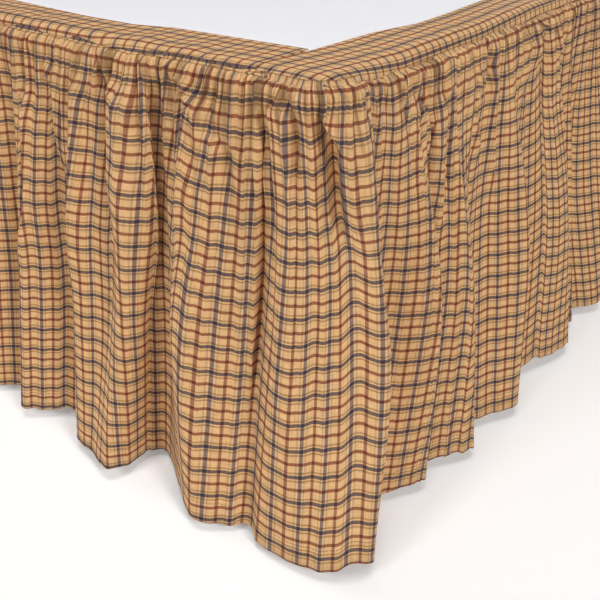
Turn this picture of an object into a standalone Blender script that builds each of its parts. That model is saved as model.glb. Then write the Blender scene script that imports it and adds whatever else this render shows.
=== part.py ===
"""Gathered bed skirt on a plain box spring, in metres with +Z up.

The bed stands on six legs with its head at +Y.  A plain cloth deck lies on
top of it, with a checked border band on three sides.  A gathered checked
skirt hangs from the outer edge of the band on both long sides and the foot.
"""
import math
import random
from collections import namedtuple

import bmesh
import bpy
from mathutils import Matrix, Vector

# ---------------------------------------------------------------- bed sizes
BED_WIDTH = 1.524
BED_LENGTH = 2.032
BOX_HEIGHT = 0.229
BOX_TOP = 0.4120
BOX_CORNER = 0.020
BOX_CORNER_STEPS = 6
BOX_EDGE = 0.008
BOX_EDGE_STEPS = 3
LEG_RADIUS = 0.025
LEG_SIDES = 24
LEG_X = 0.640
LEG_ROWS = (-0.880, 0.0, 0.880)
SEAT_GAP = 0.0003

# -------------------------------------------------------------- cloth sizes
CLOTH = 0.0015
HANG = 0.0030
RIDGE_LIFT = 0.0022
SEWN_GAP = 0.0005
JOINT_GAP = 0.0008
END_STEP = 0.003
HEAD_HEM = 0.004
LAP_WIDTH = 0.060
ROW_PARTS = (0.0, 0.045, 0.12, 0.24, 0.40, 0.58, 0.79, 1.0)
MID_PART = 0.52
FOLD_COLUMNS = 8
FOLD_REACH = 0.062
LEFT_FOLDS = 19
FOOT_PLAIN_FOLDS = 9
RIGHT_PLAIN_FOLDS = 13
LEFT_SEED = 5
FOOT_SEED = 11
RIGHT_SEED = 23
# How uneven the plain folds are: shares of their pitch, then lowest and
# highest distances out half way down and how much further the hem stands out.
RIDGE_SHIFT = 0.12
RIDGE_LEAN = 0.16
RIDGE_DRIFT = 0.14
VALLEY_SHIFT = 0.10
RIDGE_MID = (0.034, 0.052)
RIDGE_FLARE = (0.030, 0.042)
VALLEY_MID = (0.005, 0.016)
VALLEY_FLARE = (0.026, 0.038)
PLAIN_VALLEY = (0.008, 0.036)
END_VALLEY = (0.008, 0.026)
# A column never falls by less than this share of the cloth between two rows.
LEAST_FALL = 0.5
FINE_STEPS = 40

# ------------------------------------------- the skirt's path round the bed
# Places along the path are measured from the middle of the front right
# corner, minus towards the foot and the left side, plus up the right side.
ARC = 0.5 * math.pi * BOX_CORNER
FOOT_STRAIGHT = BED_WIDTH - 2.0 * BOX_CORNER
SIDE_STRAIGHT = BED_LENGTH - BOX_CORNER
LEFT_CORNER = -(FOOT_STRAIGHT + ARC)
RIGHT_END = 0.5 * ARC + SIDE_STRAIGHT
LEFT_END = LEFT_CORNER - RIGHT_END

# One row for each ridge, valley or bend of the folds, from left to right.
# top, mid, hem: place along the path at the seam, half way down and the hem.
# mid_out, hem_out: how far the cloth stands out from the bed there.
Fold = namedtuple("Fold", "kind top mid mid_out hem hem_out")

FOOT_FOLDS = (
    Fold("ridge", -0.370, -0.394, 0.036, -0.404, 0.063),
    Fold("valley", -0.341, -0.356, 0.005, -0.358, 0.036),
    Fold("ridge", -0.312, -0.332, 0.036, -0.333, 0.071),
    Fold("valley", -0.266, -0.288, 0.004, -0.285, 0.038),
    Fold("ridge", -0.235, -0.253, 0.034, -0.245, 0.068),
    Fold("bend", -0.203, -0.220, 0.022, -0.216, 0.073),
    Fold("ridge", -0.175, -0.189, 0.034, -0.187, 0.081),
    Fold("bend", -0.166, -0.177, 0.024, -0.176, 0.066),
    Fold("bend", -0.158, -0.171, 0.009, -0.176, 0.036),
    Fold("valley", -0.146, -0.156, 0.003, -0.158, 0.023),
    Fold("ridge", -0.118, -0.123, 0.033, -0.083, 0.072),
    Fold("bend", -0.085, -0.088, 0.022, -0.050, 0.060),
)
CORNER_FOLDS = (
    Fold("valley", -0.050, -0.060, 0.004, -0.031, 0.043),
    Fold("ridge", -0.018, -0.017, 0.024, -0.010, 0.068),
    Fold("bend", 0.006, 0.004, 0.012, 0.002, 0.087),
    Fold("ridge", 0.024, 0.034, 0.045, 0.007, 0.092),
    Fold("bend", 0.034, 0.054, 0.026, 0.012, 0.066),
    Fold("valley", 0.045, 0.079, 0.006, 0.038, 0.038),
)
SIDE_FOLDS = (
    Fold("bend", 0.056, 0.096, 0.009, 0.053, 0.042),
    Fold("ridge", 0.085, 0.128, 0.044, 0.094, 0.068),
    Fold("valley", 0.121, 0.146, 0.020, 0.108, 0.050),
    Fold("ridge", 0.165, 0.186, 0.048, 0.165, 0.086),
    Fold("valley", 0.218, 0.222, 0.024, 0.188, 0.060),
    Fold("bend", 0.240, 0.262, 0.028, 0.225, 0.077),
    Fold("ridge", 0.275, 0.304, 0.058, 0.262, 0.095),
    Fold("valley", 0.338, 0.336, 0.028, 0.298, 0.062),
    Fold("ridge", 0.400, 0.416, 0.060, 0.413, 0.099),
    Fold("valley", 0.440, 0.450, 0.020, 0.446, 0.058),
    Fold("ridge", 0.465, 0.480, 0.044, 0.476, 0.084),
    Fold("valley", 0.491, 0.508, 0.014, 0.491, 0.064),
    Fold("ridge", 0.550, 0.576, 0.054, 0.551, 0.098),
)

# How far below the bed's top the skirt's seam lies, by place on the path.
SEAM_DEPTHS = (
    (-0.420, 0.0075),
    (-0.180, 0.0075),
    (-0.120, 0.0045),
    (0.000, 0.0045),
    (0.030, 0.0065),
    (0.070, 0.0115),
    (0.600, 0.0115),
)
# The skirt's finished length from the seam to its hem, by place on the path.
DROPS = (
    (-0.175, 0.3990),
    (-0.140, 0.4000),
    (-0.080, 0.4045),
    (-0.020, 0.4080),
    (0.045, 0.4080),
    (0.075, 0.3980),
)
# How far the band's inner edge lies from the bed's edge, by the distance
# from the front right corner.
FOOT_INNER = (
    (0.056, 0.0655),
    (0.100, 0.0620),
    (0.190, 0.0550),
    (0.227, 0.0420),
    (0.290, 0.0400),
    (0.390, 0.0460),
    (0.600, 0.0560),
    (0.900, 0.0500),
    (1.200, 0.0580),
    (1.468, 0.0640),
)
SIDE_INNER = (
    (0.0655, 0.0560),
    (0.145, 0.0540),
    (0.207, 0.0440),
    (0.267, 0.0450),
    (0.370, 0.0510),
    (0.700, 0.0570),
    (1.100, 0.0510),
    (1.600, 0.0560),
    (BED_LENGTH, 0.0530),
)
BAND_STEP = 0.060
CORNER_STEP = 0.010
LAP_END = 0.012
BAND_LIFT = 0.5 * CLOTH + SEAT_GAP
# The band's section: how far out from the bed's edge and how far above the
# bed's top, from its flat part to where it hangs.
BAND_SECTION = ((-0.0080, BAND_LIFT), (0.0018, -0.0010), (HANG, -0.0034))

MATERIALS = {
    "plaid_skirt": ((0.66, 0.47, 0.27), 0.92),
    "plaid_band": ((0.69, 0.50, 0.29), 0.92),
    "white_deck": ((0.82, 0.82, 0.85), 0.90),
    "box_cover": ((0.78, 0.77, 0.74), 0.88),
    "leg_black": ((0.03, 0.03, 0.03), 0.50),
}


def clear_scene():
    """Start from an empty file."""
    for thing in list(bpy.data.objects):
        bpy.data.objects.remove(thing, do_unlink=True)


def make_material(name):
    """Plain surface with the colour and roughness of that piece."""
    colour, rough = MATERIALS[name]
    material = bpy.data.materials.new(name)
    material.use_nodes = True
    shader = material.node_tree.nodes["Principled BSDF"]
    shader.inputs["Base Color"].default_value = (*colour, 1.0)
    shader.inputs["Roughness"].default_value = rough
    shader.inputs["Metallic"].default_value = 0.0
    return material


def from_table(table, place):
    """Value at a place, on straight lines between the table's rows."""
    if place <= table[0][0]:
        return table[0][1]
    for (start, low), (end, high) in zip(table, table[1:]):
        if place <= end:
            return low + (high - low) * (place - start) / (end - start)
    return table[-1][1]


def path_point(place, out):
    """Plan position at a place on the path, a distance out from the bed."""
    if place < 0.5 * LEFT_CORNER:
        mirrored = path_point(LEFT_CORNER - place, out)
        return Vector((-mirrored.x, mirrored.y))
    centre = Vector((0.5 * BED_WIDTH - BOX_CORNER, BOX_CORNER - 0.5 * BED_LENGTH))
    if place < -0.5 * ARC:
        return Vector((centre.x + place + 0.5 * ARC, centre.y - BOX_CORNER - out))
    if place > 0.5 * ARC:
        return Vector((centre.x + BOX_CORNER + out, centre.y + place - 0.5 * ARC))
    angle = (place + 0.5 * ARC) / BOX_CORNER
    reach = BOX_CORNER + out
    return Vector((centre.x + reach * math.sin(angle), centre.y - reach * math.cos(angle)))


def seam_depth(place):
    """Depth of the seam below the bed's top, the same at both front corners."""
    return from_table(SEAM_DEPTHS, max(place, LEFT_CORNER - place))


def drop_at(place):
    """Finished length of the skirt, the same at both front corners."""
    return from_table(DROPS, max(place, LEFT_CORNER - place))


def plain_folds(start, end, count, seed):
    """Ridges with valleys between them, uneven, over a stretch of the path."""
    chance = random.Random(seed)
    pitch = (end - start) / count
    rows = []
    for index in range(count):
        ridge = start + (index + 0.5 + chance.uniform(-RIDGE_SHIFT, RIDGE_SHIFT)) * pitch
        lean = ridge + chance.uniform(-RIDGE_LEAN, RIDGE_LEAN) * pitch
        drift = lean + chance.uniform(-RIDGE_DRIFT, RIDGE_DRIFT) * pitch
        mid_out = chance.uniform(*RIDGE_MID)
        rows.append(Fold("ridge", ridge, lean, mid_out, drift, mid_out + chance.uniform(*RIDGE_FLARE)))
        if index == count - 1:
            break
        valley = start + (index + 1.0 + chance.uniform(-VALLEY_SHIFT, VALLEY_SHIFT)) * pitch
        slip = valley + chance.uniform(-VALLEY_SHIFT, VALLEY_SHIFT) * pitch
        mid_out = chance.uniform(*VALLEY_MID)
        rows.append(Fold("valley", valley, slip, mid_out, slip, mid_out + chance.uniform(*VALLEY_FLARE)))
    return rows


def mirror_folds(rows):
    """The same folds about the front left corner."""
    return [
        row._replace(top=LEFT_CORNER - row.top, mid=LEFT_CORNER - row.mid, hem=LEFT_CORNER - row.hem)
        for row in reversed(rows)
    ]


def valley_at(place, mid_out, hem_out):
    """A valley that hangs straight down from its place at the seam."""
    return Fold("valley", place, place, mid_out, place, hem_out)


def skirt_rows():
    """All fold rows from the head's left end to its right end, and the joints.

    The joints are the numbers of the end valleys of the three lengths.
    """
    rows = [valley_at(LEFT_END + HEAD_HEM, *END_VALLEY)]
    left_corner = mirror_folds(CORNER_FOLDS)
    rows += plain_folds(rows[-1].top, left_corner[0].top, LEFT_FOLDS, LEFT_SEED)
    joints = [0, len(rows)]
    rows += left_corner
    start = valley_at(FOOT_FOLDS[0].top - FOLD_REACH, *PLAIN_VALLEY)
    rows += plain_folds(left_corner[-1].top, start.top, FOOT_PLAIN_FOLDS, FOOT_SEED)
    rows += [start]
    rows += FOOT_FOLDS + CORNER_FOLDS
    joints.append(len(rows) - 1)
    start = valley_at(SIDE_FOLDS[-1].top + FOLD_REACH, *PLAIN_VALLEY)
    rows += SIDE_FOLDS
    rows += [start]
    finish = valley_at(RIGHT_END - HEAD_HEM, *END_VALLEY)
    rows += plain_folds(start.top, finish.top, RIGHT_PLAIN_FOLDS, RIGHT_SEED)
    rows += [finish]
    joints.append(len(rows) - 1)
    return rows, joints


def between_levels(part, top, mid, hem):
    """Smooth value down the drop, never beyond the three given ones."""
    rise_one = (mid - top) / MID_PART
    rise_two = (hem - mid) / (1.0 - MID_PART)
    bend = 0.0
    if rise_one * rise_two > 0.0:
        bend = 2.0 * rise_one * rise_two / (rise_one + rise_two)
    if part <= MID_PART:
        step = part / MID_PART
        width, low, high, slope_low, slope_high = MID_PART, top, mid, rise_one, bend
    else:
        step = (part - MID_PART) / (1.0 - MID_PART)
        width, low, high, slope_low, slope_high = 1.0 - MID_PART, mid, hem, bend, rise_two
    square = step * step
    cube = square * step
    value = (2.0 * cube - 3.0 * square + 1.0) * low
    value += (cube - 2.0 * square + step) * width * slope_low
    value += (3.0 * square - 2.0 * cube) * high
    value += (cube - square) * width * slope_high
    return value


def row_stop(row, part):
    """Place and distance out of one fold row at a part of the drop."""
    top_out = HANG + (RIDGE_LIFT if row.kind == "ridge" else 0.0)
    place = between_levels(part, row.top, row.mid, row.hem)
    out = between_levels(part, top_out, row.mid_out, row.hem_out)
    return Vector((place, out))


def curve_point(stops, index, step):
    """Point of a smooth curve through the stops, between index and the next."""
    before = stops[max(index - 1, 0)]
    start = stops[index]
    end = stops[index + 1]
    after = stops[min(index + 2, len(stops) - 1)]
    slope_start = 0.5 * (end - before)
    slope_end = 0.5 * (after - start)
    square = step * step
    cube = square * step
    point = (2.0 * cube - 3.0 * square + 1.0) * start
    point = point + (cube - 2.0 * square + step) * slope_start
    point = point + (3.0 * square - 2.0 * cube) * end
    return point + (cube - square) * slope_end


def column_stops(length, at_start, at_end):
    """Distances of the columns along one fold, doubled at an end of the cloth."""
    low = 0.5 * JOINT_GAP if at_start else 0.0
    high = length - (0.5 * JOINT_GAP if at_end else 0.0)
    stops = [low + (high - low) * column / FOLD_COLUMNS for column in range(FOLD_COLUMNS + 1)]
    if at_start:
        stops.insert(1, low + END_STEP)
    if at_end:
        stops.insert(-1, high - END_STEP)
    return stops


def spaced_points(line, at_start, at_end):
    """Points at even distances along the plan line of one fold."""
    lengths = [0.0]
    for first, second in zip(line, line[1:]):
        lengths.append(lengths[-1] + (second - first).xy.length)
    points = []
    index = 0
    for wanted in column_stops(lengths[-1], at_start, at_end):
        while index < len(line) - 2 and lengths[index + 1] < wanted:
            index += 1
        part = (wanted - lengths[index]) / (lengths[index + 1] - lengths[index])
        points.append(line[index].lerp(line[index + 1], part))
    return points


def plan_line(rows, start, end, part):
    """Plan points, each with its place on the path, at a part of the drop.

    They run from the start valley to the end valley of one length of skirt.
    """
    stops = [row_stop(row, part) for row in rows]
    valleys = [index for index in range(start, end + 1) if rows[index].kind == "valley"]
    points = []
    for first, last in zip(valleys, valleys[1:]):
        line = []
        for index in range(first, last):
            for fine in range(FINE_STEPS):
                place, out = curve_point(stops, index, fine / FINE_STEPS)
                line.append(Vector((*path_point(place, max(out, HANG)), place)))
        place, out = stops[last]
        line.append(Vector((*path_point(place, max(out, HANG)), place)))
        fold = spaced_points(line, first == start, last == end)
        points += fold[1:] if points else fold
    return points


def skirt_grid(rows, start, end):
    """Grid of points of one length of skirt, each column hanging its full drop."""
    lines = [plan_line(rows, start, end, part) for part in ROW_PARTS]
    places = [point.z for point in lines[0]]
    heights = [BOX_TOP - seam_depth(place) - SEWN_GAP for place in places]
    grid = [[Vector((point.x, point.y, height)) for point, height in zip(lines[0], heights)]]
    for row in range(1, len(ROW_PARTS)):
        for column, point in enumerate(lines[row]):
            length = (ROW_PARTS[row] - ROW_PARTS[row - 1]) * drop_at(places[column])
            shift = (point - lines[row - 1][column]).xy.length
            fall = math.sqrt(max(length * length - shift * shift, 0.0))
            heights[column] -= max(fall, LEAST_FALL * length)
        grid.append([Vector((point.x, point.y, height)) for point, height in zip(lines[row], heights)])
    return grid


def add_object(name, mesh_source, material, collection):
    """Turn a bmesh into a named object with its material."""
    mesh = bpy.data.meshes.new(name)
    mesh_source.to_mesh(mesh)
    mesh_source.free()
    thing = bpy.data.objects.new(name, mesh)
    thing.data.materials.append(material)
    collection.objects.link(thing)
    return thing


def sheet_object(name, grid, material, collection):
    """Cloth sheet on a grid of points, given its thickness by Solidify."""
    sheet = bmesh.new()
    corners = [[sheet.verts.new(point) for point in line] for line in grid]
    for upper, lower in zip(corners, corners[1:]):
        for column in range(len(upper) - 1):
            sheet.faces.new((upper[column], lower[column], lower[column + 1], upper[column + 1]))
    sheet.normal_update()
    bmesh.ops.triangulate(sheet, faces=sheet.faces[:])
    thing = add_object(name, sheet, material, collection)
    thickness = thing.modifiers.new("cloth", "SOLIDIFY")
    thickness.thickness = CLOTH
    thickness.offset = 0.0
    thickness.use_even_offset = True
    thickness.use_rim = True
    return thing


def stepped(start, end, step, knots=()):
    """Places from start to end, no more than a step apart, through the knots."""
    low, high = min(start, end), max(start, end)
    stops = [start] + sorted(knot for knot in knots if low + 0.002 < knot < high - 0.002) + [end]
    if end < start:
        stops = [start] + stops[-2:0:-1] + [end]
    places = [start]
    for first, last in zip(stops, stops[1:]):
        count = math.ceil(abs(last - first) / step)
        places += [first + (last - first) * (index + 1) / count for index in range(count)]
    return places


def band_line(place, inner):
    """Points of the band's section from its inner edge to its sewn edge."""
    line = [Vector((inner.x, inner.y, BOX_TOP + BAND_LIFT))]
    for out, rise in BAND_SECTION:
        point = path_point(place, out)
        line.append(Vector((point.x, point.y, BOX_TOP + rise)))
    point = path_point(place, HANG)
    line.append(Vector((point.x, point.y, BOX_TOP - seam_depth(place))))
    return line


def side_band_grid(side):
    """Band of one long side, which runs through the front corner."""
    columns = []
    head = 0.5 * BED_LENGTH - HEAD_HEM
    corner_y = -0.5 * BED_LENGTH + SIDE_INNER[0][0]
    for along in stepped(head, corner_y, BAND_STEP, side_knots()):
        distance = along + 0.5 * BED_LENGTH
        inner = Vector((0.5 * BED_WIDTH - from_table(SIDE_INNER, distance), along))
        columns.append((0.5 * ARC + distance - BOX_CORNER, inner))
    start = columns[-1][0]
    finish = -(LAP_WIDTH - BOX_CORNER) - 0.5 * ARC
    butt_x = 0.5 * BED_WIDTH - LAP_WIDTH
    inner_x = 0.5 * BED_WIDTH - SIDE_INNER[0][1]
    places = stepped(start, finish, CORNER_STEP, [row[0] for row in SEAM_DEPTHS])
    for place in places[1:]:
        part = (start - place) / (start - finish)
        inner_y = corner_y + part * (LAP_END - 0.5 * BED_LENGTH - corner_y)
        inner = Vector((inner_x + part * (butt_x - inner_x), inner_y))
        columns.append((place, inner))
    grid = []
    for place, inner in columns:
        line = band_line(place, inner)
        if side < 0:
            line = band_line(LEFT_CORNER - place, Vector((-inner.x, inner.y)))
        grid.append(line)
    if side < 0:
        grid.reverse()
    return grid


def side_knots():
    """Places up the side where the band's width or the seam's depth turns."""
    knots = [row[0] - 0.5 * BED_LENGTH for row in SIDE_INNER]
    knots += [row[0] - 0.5 * ARC + BOX_CORNER - 0.5 * BED_LENGTH for row in SEAM_DEPTHS]
    return knots


def foot_knots():
    """Places across the foot where the band's width or the seam's depth turns."""
    knots = [0.5 * BED_WIDTH - row[0] for row in FOOT_INNER]
    turns = [0.5 * BED_WIDTH - BOX_CORNER + 0.5 * ARC + row[0] for row in SEAM_DEPTHS]
    knots += turns
    knots += [-turn for turn in turns]
    return knots


def foot_band_grid():
    """Band of the foot, between the two side bands."""
    grid = []
    butt = 0.5 * BED_WIDTH - LAP_WIDTH - SEWN_GAP
    for along in stepped(butt, -butt, BAND_STEP, foot_knots()):
        distance = 0.5 * BED_WIDTH - along
        inner = Vector((along, -0.5 * BED_LENGTH + from_table(FOOT_INNER, distance)))
        place = -(distance - BOX_CORNER) - 0.5 * ARC
        grid.append(band_line(place, inner))
    return grid


def deck_object(material, collection):
    """Plain cloth deck inside the bands, flat on the bed."""
    outline = []
    head = 0.5 * BED_LENGTH - HEAD_HEM
    corner_y = -0.5 * BED_LENGTH + SIDE_INNER[0][0]
    right = []
    for along in stepped(head, corner_y, BAND_STEP, side_knots()):
        inset = from_table(SIDE_INNER, along + 0.5 * BED_LENGTH) + SEWN_GAP
        right.append(Vector((0.5 * BED_WIDTH - inset, along)))
    outline += right
    butt = 0.5 * BED_WIDTH - LAP_WIDTH - SEWN_GAP
    for along in stepped(butt, -butt, BAND_STEP, foot_knots()):
        inset = from_table(FOOT_INNER, 0.5 * BED_WIDTH - along) + SEWN_GAP
        outline.append(Vector((along, -0.5 * BED_LENGTH + inset)))
    outline += [Vector((-point.x, point.y)) for point in reversed(right)]
    sheet = bmesh.new()
    low = BOX_TOP + SEAT_GAP
    ring = [sheet.verts.new((point.x, point.y, low)) for point in outline]
    face = sheet.faces.new(ring)
    raised = bmesh.ops.extrude_face_region(sheet, geom=[face])
    for item in raised["geom"]:
        if isinstance(item, bmesh.types.BMVert):
            item.co.z += CLOTH
    bmesh.ops.recalc_face_normals(sheet, faces=sheet.faces[:])
    bmesh.ops.triangulate(sheet, faces=sheet.faces[:])
    return add_object("deck", sheet, material, collection)


def edge_rise(edge):
    """Difference in height between an edge's ends."""
    return abs(edge.verts[0].co.z - edge.verts[1].co.z)


def box_object(material, collection):
    """Plain padded block with rounded corners and softened edges."""
    block = bmesh.new()
    bmesh.ops.create_cube(block, size=1.0)
    for vert in block.verts:
        vert.co.x *= BED_WIDTH
        vert.co.y *= BED_LENGTH
        vert.co.z = vert.co.z * BOX_HEIGHT + BOX_TOP - 0.5 * BOX_HEIGHT
    upright = [edge for edge in block.edges if edge_rise(edge) > 0.5 * BOX_HEIGHT]
    bmesh.ops.bevel(
        block, geom=upright, offset=BOX_CORNER, segments=BOX_CORNER_STEPS, profile=0.5, affect="EDGES"
    )
    rims = [edge for edge in block.edges if edge_rise(edge) < 0.5 * BOX_HEIGHT]
    bmesh.ops.bevel(
        block, geom=rims, offset=BOX_EDGE, segments=BOX_EDGE_STEPS, profile=0.5, affect="EDGES"
    )
    bmesh.ops.recalc_face_normals(block, faces=block.faces[:])
    return add_object("box_spring", block, material, collection)


def leg_object(number, x, y, material, collection):
    """Round leg from the floor to just under the box spring."""
    height = BOX_TOP - BOX_HEIGHT - SEAT_GAP
    leg = bmesh.new()
    bmesh.ops.create_cone(
        leg,
        cap_ends=True,
        segments=LEG_SIDES,
        radius1=LEG_RADIUS,
        radius2=LEG_RADIUS,
        depth=height,
    )
    bmesh.ops.translate(leg, verts=leg.verts[:], vec=(x, y, 0.5 * height))
    return add_object(f"leg_{number}", leg, material, collection)


def centre_pieces(collection):
    """Move every piece so that the middle of the whole is over the origin."""
    bpy.context.view_layer.update()
    depsgraph = bpy.context.evaluated_depsgraph_get()
    corners = []
    for thing in collection.objects:
        corners += [Vector(corner) for corner in thing.evaluated_get(depsgraph).bound_box]
    middle_x = 0.5 * (min(corner.x for corner in corners) + max(corner.x for corner in corners))
    middle_y = 0.5 * (min(corner.y for corner in corners) + max(corner.y for corner in corners))
    for thing in collection.objects:
        thing.data.transform(Matrix.Translation((-middle_x, -middle_y, 0.0)))


def build():
    """Make every piece of the bed skirt and its bed."""
    clear_scene()
    collection = bpy.data.collections.new("bed_skirt")
    bpy.context.scene.collection.children.link(collection)
    materials = {name: make_material(name) for name in MATERIALS}
    box_object(materials["box_cover"], collection)
    number = 0
    for y in LEG_ROWS:
        for x in (-LEG_X, LEG_X):
            number += 1
            leg_object(number, x, y, materials["leg_black"], collection)
    deck_object(materials["white_deck"], collection)
    sheet_object("band_right", side_band_grid(1), materials["plaid_band"], collection)
    sheet_object("band_left", side_band_grid(-1), materials["plaid_band"], collection)
    sheet_object("band_foot", foot_band_grid(), materials["plaid_band"], collection)
    names = ("skirt_left", "skirt_foot", "skirt_right")
    rows, joints = skirt_rows()
    for name, start, end in zip(names, joints, joints[1:]):
        sheet_object(name, skirt_grid(rows, start, end), materials["plaid_skirt"], collection)
    centre_pieces(collection)


build()
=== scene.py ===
"""Gathered checked bed skirt on a plain bed, seen at its foot corner."""
import math
import random
from collections import namedtuple

import bmesh
import bpy
import numpy as np
from mathutils import Matrix, Vector

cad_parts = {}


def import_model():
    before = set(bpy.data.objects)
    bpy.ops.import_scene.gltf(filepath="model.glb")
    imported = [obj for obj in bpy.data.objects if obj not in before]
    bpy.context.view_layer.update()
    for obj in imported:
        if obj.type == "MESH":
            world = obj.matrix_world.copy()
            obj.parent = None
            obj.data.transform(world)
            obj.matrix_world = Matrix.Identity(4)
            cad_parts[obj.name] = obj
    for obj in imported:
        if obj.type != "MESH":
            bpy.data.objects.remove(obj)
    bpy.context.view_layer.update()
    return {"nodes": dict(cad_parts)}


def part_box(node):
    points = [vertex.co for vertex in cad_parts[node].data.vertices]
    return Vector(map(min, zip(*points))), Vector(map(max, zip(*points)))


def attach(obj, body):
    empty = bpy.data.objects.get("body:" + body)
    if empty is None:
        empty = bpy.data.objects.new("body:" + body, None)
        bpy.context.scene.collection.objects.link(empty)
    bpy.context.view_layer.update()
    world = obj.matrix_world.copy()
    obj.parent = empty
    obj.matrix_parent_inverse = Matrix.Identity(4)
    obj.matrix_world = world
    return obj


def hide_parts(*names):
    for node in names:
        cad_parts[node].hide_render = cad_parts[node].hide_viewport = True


# ---------------------------------------------------------------- bed sizes
BED_WIDTH = 1.524
BED_LENGTH = 2.032
BOX_TOP = 0.4120
BOX_CORNER = 0.020
HEAD_HEM = 0.004

# -------------------------------------------------------------- cloth sizes
# HANG: least distance of a fold from the bed. MID_PART: share of the drop at
# which a fold's mid values hold. CHECK: one repeat of the check.
SKIRT_CLOTH = 0.0006
BAND_CLOTH = 0.0009
DECK_CLOTH = 0.0004
HANG = 0.0030
RIDGE_LIFT = 0.0022
MID_PART = 0.52
FINE_STEPS = 24
FOLD_REACH = 0.062
CHECK = 0.0232
LAP_WIDTH = 0.060
LAP_END = 0.012

# ------------------------------------------- the skirt's path round the bed
# Places along the path are measured from the middle of the front right
# corner, minus towards the foot and the left side, plus up the right side.
ARC = 0.5 * math.pi * BOX_CORNER
FOOT_STRAIGHT = BED_WIDTH - 2.0 * BOX_CORNER
SIDE_STRAIGHT = BED_LENGTH - BOX_CORNER
LEFT_CORNER = -(FOOT_STRAIGHT + ARC)
RIGHT_END = 0.5 * ARC + SIDE_STRAIGHT
LEFT_END = LEFT_CORNER - RIGHT_END

# One row for each ridge, valley or bend of the folds, from left to right.
# top, mid, hem: place along the path at the seam, half way down and the hem.
# mid_out, hem_out: how far the cloth stands out from the bed there.
# The rows were typed from points of the photograph that separate scripts turned
# into places here, and so were the seam, drop and band tables below.
Fold = namedtuple("Fold", "kind top mid mid_out hem hem_out")

FOOT_FOLDS = (
    Fold("ridge", -0.370, -0.394, 0.036, -0.404, 0.063),
    Fold("valley", -0.341, -0.356, 0.005, -0.358, 0.036),
    Fold("ridge", -0.312, -0.332, 0.036, -0.333, 0.071),
    Fold("valley", -0.266, -0.288, 0.004, -0.285, 0.038),
    Fold("ridge", -0.235, -0.253, 0.034, -0.245, 0.068),
    Fold("bend", -0.203, -0.220, 0.022, -0.216, 0.073),
    Fold("ridge", -0.175, -0.189, 0.034, -0.187, 0.081),
    Fold("bend", -0.166, -0.177, 0.024, -0.176, 0.066),
    Fold("bend", -0.158, -0.171, 0.009, -0.176, 0.036),
    Fold("valley", -0.146, -0.156, 0.003, -0.158, 0.023),
    Fold("ridge", -0.118, -0.123, 0.033, -0.083, 0.072),
    Fold("bend", -0.085, -0.088, 0.022, -0.050, 0.060),
)
CORNER_FOLDS = (
    Fold("valley", -0.050, -0.053, 0.010, -0.033, 0.046),
    Fold("ridge", -0.018, -0.015, 0.025, -0.010, 0.0625),
    Fold("bend", 0.006, 0.004, 0.016, 0.0005, 0.0815),
    Fold("ridge", 0.024, 0.034, 0.045, 0.008, 0.088),
    Fold("bend", 0.034, 0.054, 0.026, 0.012, 0.066),
    Fold("valley", 0.045, 0.079, 0.006, 0.038, 0.038),
)
SIDE_FOLDS = (
    Fold("bend", 0.056, 0.096, 0.009, 0.053, 0.042),
    Fold("ridge", 0.085, 0.128, 0.044, 0.094, 0.068),
    Fold("valley", 0.121, 0.146, 0.020, 0.108, 0.050),
    Fold("ridge", 0.165, 0.186, 0.048, 0.165, 0.086),
    Fold("valley", 0.218, 0.222, 0.024, 0.188, 0.060),
    Fold("bend", 0.240, 0.262, 0.028, 0.225, 0.077),
    Fold("ridge", 0.275, 0.304, 0.058, 0.262, 0.095),
    Fold("valley", 0.338, 0.336, 0.028, 0.298, 0.062),
    Fold("ridge", 0.400, 0.416, 0.060, 0.413, 0.099),
    Fold("valley", 0.440, 0.450, 0.020, 0.446, 0.058),
    Fold("ridge", 0.465, 0.480, 0.044, 0.476, 0.084),
    Fold("valley", 0.491, 0.508, 0.014, 0.491, 0.064),
    Fold("ridge", 0.550, 0.576, 0.054, 0.551, 0.098),
)

# The plain folds outside the photograph: counts, seeds and unevenness.
LEFT_FOLDS = 19
FOOT_PLAIN_FOLDS = 9
RIGHT_PLAIN_FOLDS = 13
LEFT_SEED = 5
FOOT_SEED = 11
RIGHT_SEED = 23
RIDGE_SHIFT = 0.12
RIDGE_LEAN = 0.16
RIDGE_DRIFT = 0.14
VALLEY_SHIFT = 0.10
RIDGE_MID = (0.034, 0.052)
RIDGE_FLARE = (0.030, 0.042)
VALLEY_MID = (0.005, 0.016)
VALLEY_FLARE = (0.026, 0.038)
PLAIN_VALLEY = (0.008, 0.036)
END_VALLEY = (0.008, 0.026)

# How far below the bed's top the skirt's seam lies, by place on the path.
SEAM_DEPTHS = (
    (-0.420, 0.0075),
    (-0.180, 0.0075),
    (-0.120, 0.0045),
    (0.000, 0.0045),
    (0.030, 0.0065),
    (0.070, 0.0115),
    (0.600, 0.0115),
)
# The skirt's finished length from the seam to its hem, by place on the path.
DROPS = (
    (-0.175, 0.4000),
    (-0.140, 0.4010),
    (-0.080, 0.4055),
    (-0.020, 0.4090),
    (0.045, 0.4090),
    (0.075, 0.3990),
)
# How far the band's inner edge lies from the bed's edge, by the distance
# from the front right corner.
FOOT_INNER = (
    (0.056, 0.0655),
    (0.100, 0.0620),
    (0.190, 0.0550),
    (0.227, 0.0420),
    (0.290, 0.0400),
    (0.390, 0.0460),
    (0.600, 0.0560),
    (0.900, 0.0500),
    (1.200, 0.0580),
    (1.468, 0.0640),
)
SIDE_INNER = (
    (0.0655, 0.0560),
    (0.145, 0.0540),
    (0.207, 0.0440),
    (0.267, 0.0450),
    (0.370, 0.0510),
    (0.700, 0.0570),
    (1.100, 0.0510),
    (1.600, 0.0560),
    (BED_LENGTH, 0.0530),
)
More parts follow.
